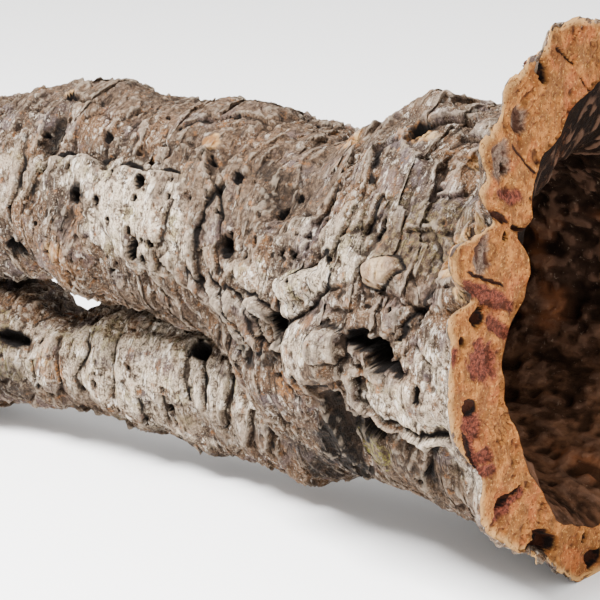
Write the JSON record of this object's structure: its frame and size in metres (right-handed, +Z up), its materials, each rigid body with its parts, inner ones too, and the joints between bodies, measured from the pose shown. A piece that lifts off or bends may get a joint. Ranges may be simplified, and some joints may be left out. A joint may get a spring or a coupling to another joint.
{
  "type": "forked tube of virgin cork bark",
  "caption": "Hollow forked tube of virgin cork bark lying on its side, with a wide sawn mouth and stacked branch stubs; a hide, planter or terrarium backdrop.",
  "frame": {"origin": "on the surface it lies on, under the middle of its outline", "axes": "+X along the tube, out of the sawn mouth; +Z up; +Y away from the side that carries the window between the branches and the big knob"},
  "size_m": [0.4, 0.243, 0.2396],
  "materials": {
    "cork_bark": "rough weathered grey outer bark over orange-tan cork"
  },
  "bodies": {
    "root": {"cork_bark": "cork_bark"}
  },
  "joints": []
}
